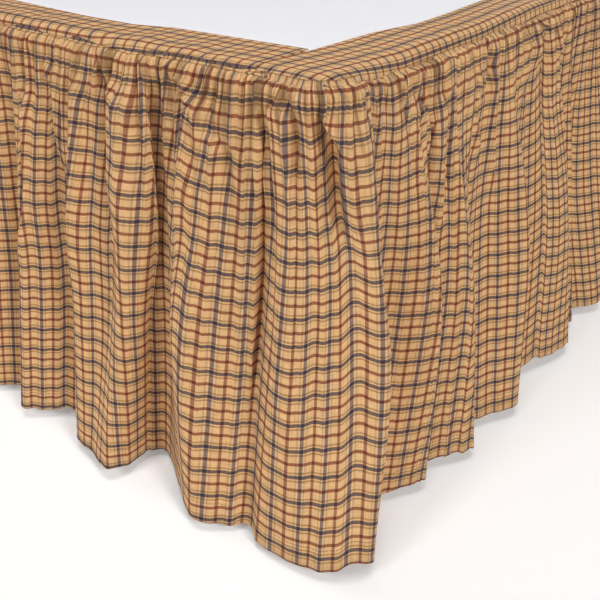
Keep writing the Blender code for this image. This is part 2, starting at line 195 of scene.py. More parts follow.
# Where the check's cross lines fall along each band: distance from the
# corner and the number of the line there.
FOOT_CROSS = ((0.0418, -1.0), (0.065, 0.0), (0.203, 6.0), (0.262, 8.0), (0.383, 13.0), (1.543, 63.0))
SIDE_CROSS = ((-0.0399, -3.0), (0.021, 0.0), (0.082, 3.0), (0.268, 11.0), (0.372, 15.0), (2.228, 95.0))
# How far the check's long lines are shifted in from the bed's edge.
FOOT_SHIFT = ((0.060, 0.0220), (0.180, 0.0140), (0.203, 0.0120), (0.230, 0.0060), (0.400, 0.0020))
SIDE_SHIFT = ((0.020, 0.0010), (0.060, -0.0050), (0.100, -0.0095), (0.250, -0.0095), (0.372, -0.0030))

# Where the check's long lines lie on the foot's skirt: distance along the cloth
# at the seam, half way down and at the hem, and the number of the line there.
# The ten middle rows follow the photograph, so the repeat isn't even there. They
# were typed from points read by eye, which a separate script turned into places
# on the cloth. The outer rows bring the repeat back to an even one.
CHECK_LINES = (
    (0.000, 0.000, 0.000, -194.8),
    (4.100, 4.100, 4.100, -18.1),
    (4.541, 4.512, 4.518, 0.0),
    (4.560, 4.549, 4.548, 1.0),
    (4.597, 4.580, 4.574, 2.0),
    (4.632, 4.612, 4.597, 3.0),
    (4.657, 4.640, 4.631, 4.0),
    (4.675, 4.6635, 4.660, 5.0),
    (4.703, 4.686, 4.680, 6.0),
    (4.727, 4.7055, 4.7035, 7.0),
    (4.772, 4.735, 4.7275, 8.0),
    (4.800, 4.770, 4.752, 9.0),
    (5.200, 5.200, 5.200, 28.3),
    (14.000, 14.000, 14.000, 407.6),
)
# How far below the seam the check's cross lines start, by place on the path: at
# the seam, half way down and at the hem.
CHECK_ROWS = (
    (-0.450, 0.0210, 0.0240, 0.0240),
    (-0.200, 0.0210, 0.0260, 0.0260),
    (-0.130, 0.0200, 0.0285, 0.0310),
    (-0.070, 0.0200, 0.0285, 0.0310),
    (-0.040, 0.0155, 0.0200, 0.0260),
    (0.040, 0.0155, 0.0200, 0.0255),
    (0.065, 0.0170, 0.0150, 0.0155),
    (0.600, 0.0170, 0.0165, 0.0180),
)

# Gathers of three sizes, each a share of the one above: cloth in one gather,
# how deep it is, where down the drop it has risen and from where to where it
# fades, and the share of it that stays at the hem.
Gather = namedtuple("Gather", "cloth depth risen fade_from fade_to left")
GATHERS = (
    Gather(0.040, 0.0036, 0.040, 0.090, 0.220, 0.05),
    Gather(0.018, 0.0044, 0.009, 0.026, 0.110, 0.0),
    Gather(0.0062, 0.0034, 0.0025, 0.008, 0.036, 0.0),
)
GATHER_LEVEL = 0.55
GATHER_SEED = 41
# Spread of the gathers: their number, widths, depths and how far down they run.
COUNT_SPREAD = 0.4
GATHER_WIDTHS = (0.55, 1.45)
GATHER_DEPTHS = (0.35, 1.35)
GATHER_RUNS = (0.6, 1.7)
# Gathers stray sideways by WANDER of a fold. They turn from round humps at the
# seam to narrow ones at SOFTEN_DOWN below it.
WANDER = 0.035
SOFTEN_DOWN = 0.10
# The tucks and hollows that the photograph shows below the seam. front: 1 where
# the cloth on the plus side stands in front, -1 the other side, 0 for a hollow.
# rise: how far the front edge stands out, reach: over what width. sink: how deep
# the hollow behind it is, back: its width. line: places and distances down.
# Separate scripts wrote this table: they turned points read by eye in the photograph into places on
# the cloth, moved most of them for how far a crease leans, and scaled most sizes. Some rows were
# changed one by one before or after.
Crease = namedtuple("Crease", "front rise reach sink back line")
CREASES = [
    Crease(*row)
    for row in (
        (1, 0.0064, 0.0161, 0.002, 0.006, (
            (-0.3228, 0.047), (-0.3166, 0.065), (-0.3138, 0.092), (-0.3199, 0.160),
            (-0.3400, 0.250))),
        (0, 0.001, 0.003, 0.005, 0.0025, (
            (-0.3016, 0.005), (-0.3043, 0.012), (-0.3082, 0.025), (-0.3087, 0.047))),
        (1, 0.0056, 0.0138, 0.002, 0.006, (
            (-0.2857, 0.016), (-0.2758, 0.040), (-0.2728, 0.058), (-0.2740, 0.087),
            (-0.2769, 0.113), (-0.2838, 0.154))),
        (1, 0.0064, 0.0149, 0.002, 0.006, (
            (-0.2470, 0.010), (-0.2360, 0.050), (-0.2439, 0.113), (-0.2513, 0.190),
            (-0.2620, 0.260))),
        (-1, 0.004, 0.0115, 0.003, 0.005, (
            (-0.2188, 0.005), (-0.2163, 0.020), (-0.2181, 0.050))),
        (1, 0.0064, 0.0161, 0.003, 0.008, (
            (-0.2071, 0.016), (-0.1925, 0.034), (-0.1880, 0.047), (-0.1962, 0.097),
            (-0.2055, 0.187))),
        (-1, 0.01, 0.016, 0.002, 0.01, (
            (-0.1587, 0.001), (-0.1659, 0.092), (-0.1704, 0.148), (-0.1745, 0.257))),
        (1, 0.008, 0.0161, 0.003, 0.008, (
            (-0.1334, 0.006), (-0.1139, 0.021), (-0.1032, 0.037), (-0.1092, 0.062),
            (-0.1120, 0.103), (-0.1273, 0.168))),
        (0, 0.002, 0.008, 0.004, 0.006, (
            (-0.0822, 0.003), (-0.0885, 0.026), (-0.0861, 0.051), (-0.0768, 0.062),
            (-0.0747, 0.089), (-0.0730, 0.126))),
        (-1, 0.0068, 0.0149, 0.004, 0.008, (
            (-0.0501, 0.001), (-0.0423, 0.044), (-0.0447, 0.084), (-0.0494, 0.144),
            (-0.0524, 0.210), (-0.0525, 0.280), (-0.0480, 0.340))),
        (1, 0.004, 0.0115, 0.002, 0.006, (
            (-0.0244, 0.006), (-0.0262, 0.018), (-0.0339, 0.038), (-0.0363, 0.071),
            (-0.0393, 0.115))),
        (0, 0.002, 0.004, 0.0084, 0.0035, (
            (-0.0204, 0.001), (-0.0186, 0.014), (-0.0156, 0.026), (-0.0135, 0.048),
            (-0.0136, 0.080))),
        (1, 0.011, 0.016, 0.006, 0.009, (
            (-0.0017, 0.010), (0.0001, 0.021), (0.0052, 0.035), (0.0113, 0.048),
            (0.0133, 0.089), (0.0149, 0.144))),
        (0, 0.0015, 0.003, 0.006, 0.0018, (
            (0.0355, 0.000), (0.0290, 0.014), (0.0295, 0.032))),
        (0, 0.001, 0.003, 0.005, 0.0018, (
            (0.0951, 0.001), (0.0984, 0.014))),
        (0, 0.003, 0.006, 0.0066, 0.004, (
            (0.1072, 0.020), (0.1150, 0.037), (0.1310, 0.057), (0.1360, 0.082), (0.1340, 0.112))),
        (-1, 0.0048, 0.0138, 0.003, 0.006, (
            (0.1640, 0.020), (0.1560, 0.034), (0.1500, 0.050), (0.1500, 0.075), (0.1520, 0.112),
            (0.1608, 0.173))),
        (-1, 0.004, 0.0115, 0.002, 0.006, (
            (0.2297, 0.020), (0.2223, 0.061), (0.2438, 0.129))),
        (0, 0.002, 0.004, 0.006, 0.003, (
            (0.2493, 0.006), (0.2521, 0.028), (0.2470, 0.057))),
        (-1, 0.004, 0.0115, 0.002, 0.006, (
            (0.2631, 0.025), (0.2580, 0.047), (0.2597, 0.082), (0.2635, 0.123), (0.2716, 0.173))),
        (-1, 0.0048, 0.0115, 0.003, 0.006, (
            (0.3350, 0.008), (0.3228, 0.037), (0.3400, 0.078))),
        (-1, 0.0048, 0.0115, 0.003, 0.006, (
            (0.3774, 0.006), (0.3613, 0.028), (0.3724, 0.057))),
        (-1, 0.004, 0.0115, 0.002, 0.006, (
            (0.4200, 0.010), (0.4015, 0.050), (0.4107, 0.107))),
    )
]
# EDGE: width of a crease's drop. OVERHANG: how far its edge leans over, as a
# share of its rise. CREASE_STARTS, CREASE_ENDS: shares of its length over which
# it comes and goes. LEAST_OUT: least distance of creased cloth from the bed.
EDGE = 0.0012
OVERHANG = 0.7
CREASE_STARTS = 0.18
CREASE_ENDS = 0.45
LEAST_OUT = 0.0026
# Columns of one fold: near the corner, seen in the photograph, and outside it.
NEAR_CORNER = (-0.27, 0.25)
IN_PHOTOGRAPH = (-0.46, 0.60)
NEAR_COLUMNS = 128
SEEN_COLUMNS = 68
PLAIN_COLUMNS = 22
# Rows of the skirt: an even share of them, the rest closer towards the seam.
SKIRT_ROWS = 59
ROWS_EVEN = 0.25
ROWS_POWER = 2.2
# Columns over which the travel down a row is evened, at the seam and more
# by EVENED_LOW at EVENED_DOWN. LEAST_FALL: least share of a row's fall.
EVENED_SEAM = 2.0
EVENED_LOW = 16.0
EVENED_DOWN = 0.16
LEAST_FALL = 0.15
# The skirt's top edge, turned up under the band.
SEAM_GAP = 0.0003
TURNED_IN = 0.004
TURNED_OUT = 0.0016


# ------------------------------------------------------------ small helpers
def from_table(table, place):
    """Values at places, on straight lines between the table's rows."""
    return np.interp(place, [row[0] for row in table], [row[1] for row in table])


def smooth(value):
    """0 below 0, 1 above 1 and a soft rise between."""
    value = np.clip(value, 0.0, 1.0)
    return value * value * (3.0 - 2.0 * value)


def path_points(place, out):
    """Plan positions at places on the path, distances out from the bed."""
    left = place < 0.5 * LEFT_CORNER
    place = np.where(left, LEFT_CORNER - place, place)
    angle = np.clip((place + 0.5 * ARC) / BOX_CORNER, 0.0, 0.5 * math.pi)
    reach = BOX_CORNER + out
    x = 0.5 * BED_WIDTH - BOX_CORNER + reach * np.sin(angle) + np.minimum(place + 0.5 * ARC, 0.0)
    y = BOX_CORNER - 0.5 * BED_LENGTH - reach * np.cos(angle) + np.maximum(place - 0.5 * ARC, 0.0)
    return np.stack((np.where(left, -x, x), y), axis=-1)


def run_along(line):
    """Distance of each point of a line from its start, along the line."""
    return np.concatenate(((0.0,), np.cumsum(np.linalg.norm(np.diff(line, axis=0), axis=1))))


def mirrored(place):
    """The place at the right corner that a place matches, as both corners are alike."""
    return np.maximum(place, LEFT_CORNER - place)


# ------------------------------------------------------------ skirt's folds
def plain_folds(start, end, count, seed):
    """Ridges with valleys between them, uneven, over a stretch of the path."""
    chance = random.Random(seed)
    pitch = (end - start) / count
    rows = []
    for index in range(count):
        ridge = start + (index + 0.5 + chance.uniform(-RIDGE_SHIFT, RIDGE_SHIFT)) * pitch
        lean = ridge + chance.uniform(-RIDGE_LEAN, RIDGE_LEAN) * pitch
        drift = lean + chance.uniform(-RIDGE_DRIFT, RIDGE_DRIFT) * pitch
        mid_out = chance.uniform(*RIDGE_MID)
        hem_out = mid_out + chance.uniform(*RIDGE_FLARE)
        rows.append(Fold("ridge", ridge, lean, mid_out, drift, hem_out))
        if index == count - 1:
            break
        valley = start + (index + 1.0 + chance.uniform(-VALLEY_SHIFT, VALLEY_SHIFT)) * pitch
        slip = valley + chance.uniform(-VALLEY_SHIFT, VALLEY_SHIFT) * pitch
        mid_out = chance.uniform(*VALLEY_MID)
        hem_out = mid_out + chance.uniform(*VALLEY_FLARE)
        rows.append(Fold("valley", valley, slip, mid_out, slip, hem_out))
    return rows


def mirror_folds(rows):
    """The same folds about the front left corner."""
    return [
        row._replace(top=LEFT_CORNER - row.top, mid=LEFT_CORNER - row.mid, hem=LEFT_CORNER - row.hem)
        for row in reversed(rows)
    ]


def valley_at(place, mid_out, hem_out):
    """A valley that hangs straight down from its place at the seam."""
    return Fold("valley", place, place, mid_out, place, hem_out)


def skirt_rows():
    """All fold rows from the head's left end to its right end, and the joints.

    The joints are the numbers of the end valleys of the three lengths.
    """
    rows = [valley_at(LEFT_END + HEAD_HEM, *END_VALLEY)]
    left_corner = mirror_folds(CORNER_FOLDS)
    rows += plain_folds(rows[-1].top, left_corner[0].top, LEFT_FOLDS, LEFT_SEED)
    joints = [0, len(rows)]
    rows += left_corner
    start = valley_at(FOOT_FOLDS[0].top - FOLD_REACH, *PLAIN_VALLEY)
    rows += plain_folds(left_corner[-1].top, start.top, FOOT_PLAIN_FOLDS, FOOT_SEED)
    rows += [start]
    rows += FOOT_FOLDS + CORNER_FOLDS
    joints.append(len(rows) - 1)
    start = valley_at(SIDE_FOLDS[-1].top + FOLD_REACH, *PLAIN_VALLEY)
    rows += SIDE_FOLDS
    rows += [start]
    finish = valley_at(RIGHT_END - HEAD_HEM, *END_VALLEY)
    rows += plain_folds(start.top, finish.top, RIGHT_PLAIN_FOLDS, RIGHT_SEED)
    rows += [finish]
    joints.append(len(rows) - 1)
    return rows, joints


def between_levels(part, top, mid, hem):
    """Smooth values down the drop, never beyond the three given ones."""
    rise_one = (mid - top) / MID_PART
    rise_two = (hem - mid) / (1.0 - MID_PART)
    same_way = rise_one * rise_two > 0.0
    total = np.where(same_way, rise_one + rise_two, 1.0)
    bend = np.where(same_way, 2.0 * rise_one * rise_two / total, 0.0)
    if part <= MID_PART:
        step = part / MID_PART
        width, low, high, slope_low, slope_high = MID_PART, top, mid, rise_one, bend
    else:
        step = (part - MID_PART) / (1.0 - MID_PART)
        width, low, high, slope_low, slope_high = 1.0 - MID_PART, mid, hem, bend, rise_two
    square = step * step
    cube = square * step
    value = (2.0 * cube - 3.0 * square + 1.0) * low
    value = value + (cube - 2.0 * square + step) * width * slope_low
    value = value + (3.0 * square - 2.0 * cube) * high
    return value + (cube - square) * width * slope_high


def smooth_stretches(stops):
    """Points of a smooth curve through the stops, FINE_STEPS between each two."""
    padded = np.concatenate((stops[:1], stops, stops[-1:]))
    slope = 0.5 * (padded[2:] - padded[:-2])
    step = (np.arange(FINE_STEPS) / FINE_STEPS)[None, :, None]
    square = step * step
    cube = square * step
    start, end = stops[:-1, None], stops[1:, None]
    points = (2.0 * cube - 3.0 * square + 1.0) * start
    points = points + (cube - 2.0 * square + step) * slope[:-1, None]
    points = points + (3.0 * square - 2.0 * cube) * end
    points = points + (cube - square) * slope[1:, None]
    return np.concatenate((points.reshape(-1, stops.shape[1]), stops[-1:]))


def level_lines(rows):
    """The skirt's line at the seam, half way down and at the hem: x, y and place."""
    lift = np.array([HANG + (RIDGE_LIFT if row.kind == "ridge" else 0.0) for row in rows])
    levels = (
        ([row.top for row in rows], lift),
        ([row.mid for row in rows], [row.mid_out for row in rows]),
        ([row.hem for row in rows], [row.hem_out for row in rows]),
    )
    lines = []
    for places, outs in levels:
        fine = smooth_stretches(np.stack((places, outs), axis=-1))
        plan = path_points(fine[:, 0], np.maximum(fine[:, 1], HANG))
        lines.append(np.concatenate((plan, fine[:, :1]), axis=1))
    return lines


def columns_of(middle):
    """Columns of a fold by its place: most for those near the corner."""
    if NEAR_CORNER[0] < middle < NEAR_CORNER[1]:
        return NEAR_COLUMNS
    return SEEN_COLUMNS if IN_PHOTOGRAPH[0] < middle < IN_PHOTOGRAPH[1] else PLAIN_COLUMNS


def skirt_columns(rows, start, end):
    """Valley numbers of one length and the columns of each of its folds."""
    valleys = [index for index in range(start, end + 1) if rows[index].kind == "valley"]
    counts = []
    for first, last in zip(valleys, valleys[1:]):
        middle = 0.5 * (rows[first].top + rows[last].top)
        counts.append(columns_of(middle))
    return valleys, counts


def plan_line(levels, valleys, counts, part):
    """Plan points, places on the path and lengths of the folds, at a part of the drop."""
    whole = between_levels(part, *levels)
    points, places, lengths = [], [], []
    for number, (first, last, count) in enumerate(zip(valleys, valleys[1:], counts)):
        line = whole[first * FINE_STEPS : last * FINE_STEPS + 1]
        along = run_along(line[:, :2])
        wanted = np.linspace(0.0, along[-1], count + 1)[0 if number == 0 else 1 :]
        spaced = np.stack([np.interp(wanted, along, line[:, axis]) for axis in (0, 1, 2)], axis=-1)
        points.append(spaced[:, :2])
        places.append(spaced[:, 2])
        lengths.append(along[-1])
    return np.concatenate(points), np.concatenate(places), lengths


def gather_cells(fold_lengths, seed):
    """Ends of each fold's gathers of each size, as shares of it, with depths and runs."""
    chance = np.random.default_rng(seed)
    cells = []
    for length in fold_lengths:
        ends = np.array((0.0, 1.0))
        sizes = []
        for gather in GATHERS:
            finer = [0.0]
            for low, high in zip(ends, ends[1:]):
                spread = chance.uniform(-COUNT_SPREAD, COUNT_SPREAD)
                count = max(1, round((high - low) * length / gather.cloth + spread))
                widths = chance.uniform(*GATHER_WIDTHS, count)
                finer += list(low + (high - low) * np.cumsum(widths) / widths.sum())
            ends = np.array(finer)
            depth = chance.uniform(*GATHER_DEPTHS, len(ends) - 1)
            run = chance.uniform(*GATHER_RUNS, len(ends) - 1)
            sizes.append((ends, depth, run))
        cells.append(sizes)
    return cells


def gather_height(share, down, sizes):
    """How far the gathers of one fold stand out, at shares of it and distances down."""
    height = np.zeros(np.broadcast(share, down).shape)
    wander = WANDER * np.sin(9.0 * down + 40.0 * sizes[0][1][0]) * np.sin(math.pi * share)
    share = np.clip(share + wander * smooth(down / 0.05), 0.0, 0.999999)
    middle = np.sin(math.pi * share)
    for gather, (ends, depth, run) in zip(GATHERS, sizes):
        cell = np.clip(np.searchsorted(ends, share, side="right") - 1, 0, len(depth) - 1)
        local = (share - ends[cell]) / (ends[cell + 1] - ends[cell])
        hump = np.sin(math.pi * np.clip(local, 0.0, 1.0))
        soften = smooth((down - gather.risen) / SOFTEN_DOWN)
        shape = (1.0 - soften) * hump**0.8 + soften * hump**1.8
        level = GATHER_LEVEL * middle * smooth((down - gather.risen) / 0.05)
        faded = (down - gather.fade_from) / (gather.fade_to * run[cell] - gather.fade_from)
        amount = gather.left + (1.0 - gather.left) * (1.0 - smooth(faded))
        height += gather.depth * depth[cell] * (shape - level) * smooth(down / gather.risen) * amount
    return height


def crease_shift(places, down):
    """How far the creases move the cloth out and along, at places and distances down."""
    out = np.zeros(places.shape)
    along = np.zeros(places.shape)
    for crease in CREASES:
        line_down = np.array([point[1] for point in crease.line])
        line_place = np.array([point[0] for point in crease.line])
        length = line_down[-1] - line_down[0]
        strength = smooth((down - line_down[0]) / (CREASE_STARTS * length))
        strength = strength * smooth((line_down[-1] - down) / (CREASE_ENDS * length))
        offset = places - np.interp(down, line_down, line_place)
        if crease.front == 0:
            beside = (np.abs(offset) - 1.8 * crease.back) / crease.reach
            out -= strength * crease.sink * np.exp(-((offset / crease.back) ** 2))
            out += strength * crease.rise * np.exp(-(beside**2))
            continue
        ahead = offset * crease.front
        slope = np.exp(-((np.abs(ahead) / crease.reach) ** 1.3))
        edge = np.where(ahead >= 0.0, slope, np.exp(-((ahead / EDGE) ** 2)))
        behind = np.exp(-(((ahead + 0.6 * crease.back) / crease.back) ** 2))
        hollow = np.where(ahead < 0.0, behind, 0.0)
        out += strength * (crease.rise * edge - crease.sink * hollow * smooth(-ahead / EDGE))
        along -= strength * crease.front * OVERHANG * crease.rise * edge
    return out, along


def bed_distance(plan):
    """How far plan points lie outside the bed's rounded edge."""
    across = np.abs(plan[..., 0]) - (0.5 * BED_WIDTH - BOX_CORNER)
    forward = -plan[..., 1] - (0.5 * BED_LENGTH - BOX_CORNER)
    outside = np.hypot(np.maximum(across, 0.0), np.maximum(forward, 0.0))
    return outside + np.minimum(np.maximum(across, forward), 0.0) - BOX_CORNER


def row_parts():
    """Shares of the drop at which the skirt has a row, closer near the seam."""
    step = np.linspace(0.0, 1.0, SKIRT_ROWS)
    return ROWS_EVEN * step + (1.0 - ROWS_EVEN) * step**ROWS_POWER


def evened(travel, down):
    """Sideways travel of the cloth from row to row, evened out along each row.

    Cloth near the seam keeps its small differences, and lower down it hangs as one.
    """
    result = np.empty(travel.shape)
    for number, row in enumerate(travel):
        width = EVENED_SEAM + EVENED_LOW * float(smooth(down[number].mean() / EVENED_DOWN))
        reach = round(3.0 * width)
        weight = np.exp(-0.5 * (np.arange(-reach, reach + 1) / width) ** 2)
        padded = np.pad(row, reach, mode="edge")
        result[number] = np.convolve(padded, weight / weight.sum(), mode="valid")
    return result


def skirt_points(rows, start, end, seed):
    """One length of skirt: points, places along and down the cloth and above the hem.

    The last value is each column's place on the path, told from the nearer corner.
    """
    valleys, counts = skirt_columns(rows, start, end)
    parts = row_parts()
    levels = level_lines(rows)
    lines = [plan_line(levels, valleys, counts, part) for part in parts]
    plan = np.stack([line[0] for line in lines])
    places = lines[0][1]
    fold_lengths = lines[-1][2]
    drop = from_table(DROPS, mirrored(places))
    down = parts[:, None] * drop[None, :]
    firsts = [1] + [0] * (len(counts) - 1)
    share = [np.linspace(0.0, 1.0, n + 1)[1 - first :] for n, first in zip(counts, firsts)]
    share = np.concatenate(share)
    fold = np.repeat(np.arange(len(counts)), [n + first for n, first in zip(counts, firsts)])
    starts = np.concatenate(((0.0,), np.cumsum(fold_lengths)))
    across = starts[fold] + share * np.array(fold_lengths)[fold]
    height = np.zeros(down.shape)
    for number, sizes in enumerate(gather_cells(fold_lengths, seed)):
        mine = fold == number
        height[:, mine] = gather_height(share[None, mine], down[:, mine], sizes)
    out, slide = crease_shift(np.stack([line[1] for line in lines]), down)
    height = np.maximum(height + out, np.minimum(LEAST_OUT - bed_distance(plan), 0.0))
    along = np.gradient(plan, axis=1)
    along /= np.linalg.norm(along, axis=2, keepdims=True)
    plan = plan + height[:, :, None] * np.stack((along[:, :, 1], -along[:, :, 0]), axis=-1)
    plan = plan + slide[:, :, None] * along
    fall = np.diff(down, axis=0)
    shift = evened(np.linalg.norm(np.diff(plan, axis=0), axis=2), down[1:])
    fall = np.sqrt(np.maximum(fall * fall - shift * shift, (LEAST_FALL * fall) ** 2))
    top = BOX_TOP - from_table(SEAM_DEPTHS, mirrored(places)) - SEAM_GAP
    z = np.concatenate((top[None, :], top[None, :] - np.cumsum(fall, axis=0)))
    turned = path_points(places, np.full(places.shape, TURNED_OUT))
    plan = np.concatenate((turned[None], plan))
    z = np.concatenate((top[None, :] + TURNED_IN, z))
    down = np.concatenate((np.full((1, down.shape[1]), -TURNED_IN), down))
    points = np.concatenate((plan, z[:, :, None]), axis=2)
    across = np.broadcast_to(across, down.shape)
    return points, across, down, drop[None, :] - down, mirrored(places)


# ------------------------------------------------------------- making pieces
def bed_shift():
    """How far the bed's middle lies from the middle of the whole object."""
    low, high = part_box("box_spring")
    return Vector((0.5 * (low[0] + high[0]), 0.5 * (low[1] + high[1]), 0.0))


def woven_sheet(name, points, thickness, material, maps):
    """Cloth sheet: a grid, its points laid out, with cloth coordinates."""
    rows, columns = points.shape[:2]
    sheet = bmesh.new()
    bmesh.ops.create_grid(sheet, x_segments=columns - 1, y_segments=rows - 1, size=1.0)
    shift = bed_shift()
    layers = {label: sheet.loops.layers.uv.new(label) for label in maps}
    where = {}
    for vert in sheet.verts:
        column = round((vert.co.x + 1.0) * 0.5 * (columns - 1))
        row = round((1.0 - vert.co.y) * 0.5 * (rows - 1))
        where[vert] = (row, column)
        vert.co = Vector(points[row, column]) + shift
    for face in sheet.faces:
        for loop in face.loops:
            row, column = where[loop.vert]
            for label, (across, down) in maps.items():
                loop[layers[label]].uv = (across[row, column], down[row, column])
        face.smooth = True
    sheet.normal_update()
    mesh = bpy.data.meshes.new(name)
    sheet.to_mesh(mesh)
    sheet.free()
    piece = bpy.data.objects.new(name, mesh)
    bpy.context.scene.collection.objects.link(piece)
    mesh.materials.append(material)
    shell = piece.modifiers.new("cloth", "SOLIDIFY")
    shell.thickness = thickness
    shell.offset = 0.0
    return piece


def check_places(across, down, places):
    """Cloth coordinates of the check from places on the cloth, its lines a repeat apart."""
    parts = np.concatenate(((0.0,), row_parts()))
    tops, mids, hems, numbers = np.array(CHECK_LINES).T
    lines = [
        np.interp(row, between_levels(part, tops, mids, hems), numbers)
        for part, row in zip(parts, across)
    ]
    row_places, *row_starts = np.array(CHECK_ROWS).T
    starts = [np.interp(places, row_places, level) for level in row_starts]
    start = np.stack([between_levels(part, *starts) for part in parts])
    return CHECK * np.stack(lines), down - start


def make_skirt(name, rows, start, end, seed, across_shift, material):
    """One length of gathered skirt. Gives back how much cloth is in it."""
    points, across, down, above_hem, places = skirt_points(rows, start, end, seed)
    check = check_places(across + across_shift, down, places)
    maps = {"cloth": check, "hem": (across, above_hem)}
    piece = woven_sheet(name, points, SKIRT_CLOTH, material, maps)
    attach(piece, "root")
    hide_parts(name.replace("_cloth", ""))
    flat = (float(across.max()), float(down.max() + TURNED_IN))
    return flat[0]


# --------------------------------------------------------- bands and deck
# The band's section past its flat part: how far out from the bed's edge and
# how far below the bed's top, as shares of the seam's depth past the edge.
ROLL = (
    (-0.0070, 0.0000),
    (-0.0048, 0.0003),
    (-0.0026, 0.0010),
    (-0.0006, 0.0021),
    (0.0010, 0.0034),
)
LEG = ((0.0022, 0.45), (0.0030, 0.75), (0.0031, 0.92), (0.0026, 1.0))
BAND_TOP = 0.0010
FLAT_COLUMNS = 12
BAND_STEP = 0.006
CORNER_STEPS = 33
BUTT_GAP = 0.0003
# Soft waves in a band: their number, lengths, slant across it and height.
WAVES = 40
WAVE_LENGTHS = (0.012, 0.060)
WAVE_SLANT = 2.5
WAVE_HEIGHT = 0.00016
# The deck: how far it goes under the bands, its place and its grid.
DECK_UNDER = 0.004
DECK_LIFT = 0.0004
DECK_FOOT = 0.050
DECK_COLUMNS = 90
DECK_ROWS = 120


def band_lines(places, inner):
    """Points of the band's section at each place, from its inner to its sewn edge."""
    depth = from_table(SEAM_DEPTHS, mirrored(places))
    edge = path_points(places, np.full(places.shape, ROLL[0][0]))
    plans, heights = [], []
    for share in np.linspace(0.0, 1.0, FLAT_COLUMNS + 1):
        plans.append(inner + share * (edge - inner))
        heights.append(np.full(places.shape, BOX_TOP + BAND_TOP))
    for out, sink in ROLL[1:]:
        plans.append(path_points(places, np.full(places.shape, out)))
        heights.append(BOX_TOP + BAND_TOP - sink * (0.6 + 0.4 * depth / 0.0075))
    low = heights[-1]
    for out, share in LEG:
        plans.append(path_points(places, np.full(places.shape, out)))
        heights.append(low + share * (BOX_TOP - depth - low))
    return np.concatenate((np.stack(plans), np.stack(heights)[:, :, None]), axis=2)


def side_band():
    """Points and path places of the right side's band, which runs through the corner."""
    head = 0.5 * BED_LENGTH - HEAD_HEM
    corner_y = -0.5 * BED_LENGTH + SIDE_INNER[0][0]
    along = np.linspace(head, corner_y, round((head - corner_y) / BAND_STEP) + 1)
    distance = along + 0.5 * BED_LENGTH
    inner = np.stack((0.5 * BED_WIDTH - from_table(SIDE_INNER, distance), along), axis=-1)
    places = 0.5 * ARC + distance - BOX_CORNER
    finish = -(LAP_WIDTH - BOX_CORNER) - 0.5 * ARC
    turn = np.linspace(places[-1], finish, CORNER_STEPS + 1)[1:]
    share = (places[-1] - turn) / (places[-1] - finish)
    end = np.array((0.5 * BED_WIDTH - LAP_WIDTH, -0.5 * BED_LENGTH + LAP_END))
    turned = inner[-1] + share[:, None] * (end - inner[-1])
    places = np.concatenate((places, turn))
    inner = np.concatenate((inner, turned))
    return band_lines(places, inner), places


def foot_band():
    """Points and path places of the foot's band, which ends under the side bands."""
    butt = 0.5 * BED_WIDTH - LAP_WIDTH - BUTT_GAP
    along = np.linspace(butt, -butt, round(2.0 * butt / BAND_STEP) + 1)
    distance = 0.5 * BED_WIDTH - along
    inner = np.stack((along, -0.5 * BED_LENGTH + from_table(FOOT_INNER, distance)), axis=-1)
    places = BOX_CORNER - distance - 0.5 * ARC
    return band_lines(places, inner), places


def rippled(points, seed):
    """Band's points with soft uneven waves across it, none at its inner edge."""
    chance = np.random.default_rng(seed)
    along = run_along(points[0, :, :2])
    inward = np.linspace(0.0, 1.0, points.shape[0])[:, None]
    wave = np.zeros(points.shape[:2])
    for _ in range(WAVES):
        length = chance.uniform(*WAVE_LENGTHS)
        phase = chance.uniform(0.0, 2.0 * math.pi)
        slant = chance.uniform(-WAVE_SLANT, WAVE_SLANT)
        size = chance.uniform(0.2, 1.0) * length / WAVE_LENGTHS[1]
        wave += size * np.sin(2.0 * math.pi * along / length + phase + slant * inward)
    points = points.copy()
    flatter = 1.0 - 0.6 * smooth(inward * 4.0 - 3.0)
    points[:, :, 2] += WAVE_HEIGHT * wave * smooth(inward * 1.6) * flatter
    return points


def make_band(name, points, places, side, material):
    """A border band, with its check laid along the bed's edge.

    side: 1 for the right side, -1 for the left side and 0 for the foot.
    """
    points = rippled(points, len(name))
    angle = np.clip((places + 0.5 * ARC) / BOX_CORNER, 0.0, 0.5 * math.pi)
    fall = BOX_TOP + BAND_TOP - points[:, :, 2]
    fall[0 : FLAT_COLUMNS + 1] = 0.0
    inset = 0.5 * BED_WIDTH - points[:, :, 0]
    forward = points[:, :, 1] + 0.5 * BED_LENGTH
    if side:
        inset = inset - fall * np.sin(angle)
        forward = forward - fall * np.cos(angle)
        across = CHECK * from_table(SIDE_CROSS, forward)
        down = inset - from_table(SIDE_SHIFT, forward)
    else:
        forward = forward - fall
        across = CHECK * from_table(FOOT_CROSS, inset)
        down = forward - from_table(FOOT_SHIFT, inset)
    if side == -1:
        points = (points * np.array((-1.0, 1.0, 1.0)))[:, ::-1]
        across, down = across[:, ::-1], down[:, ::-1]
    maps = {"cloth": (across, down), "hem": (across, np.full(across.shape, 1.0))}
    piece = woven_sheet(name, points, BAND_CLOTH, material, maps)
    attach(piece, "root")
    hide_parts(name.replace("_cloth", ""))


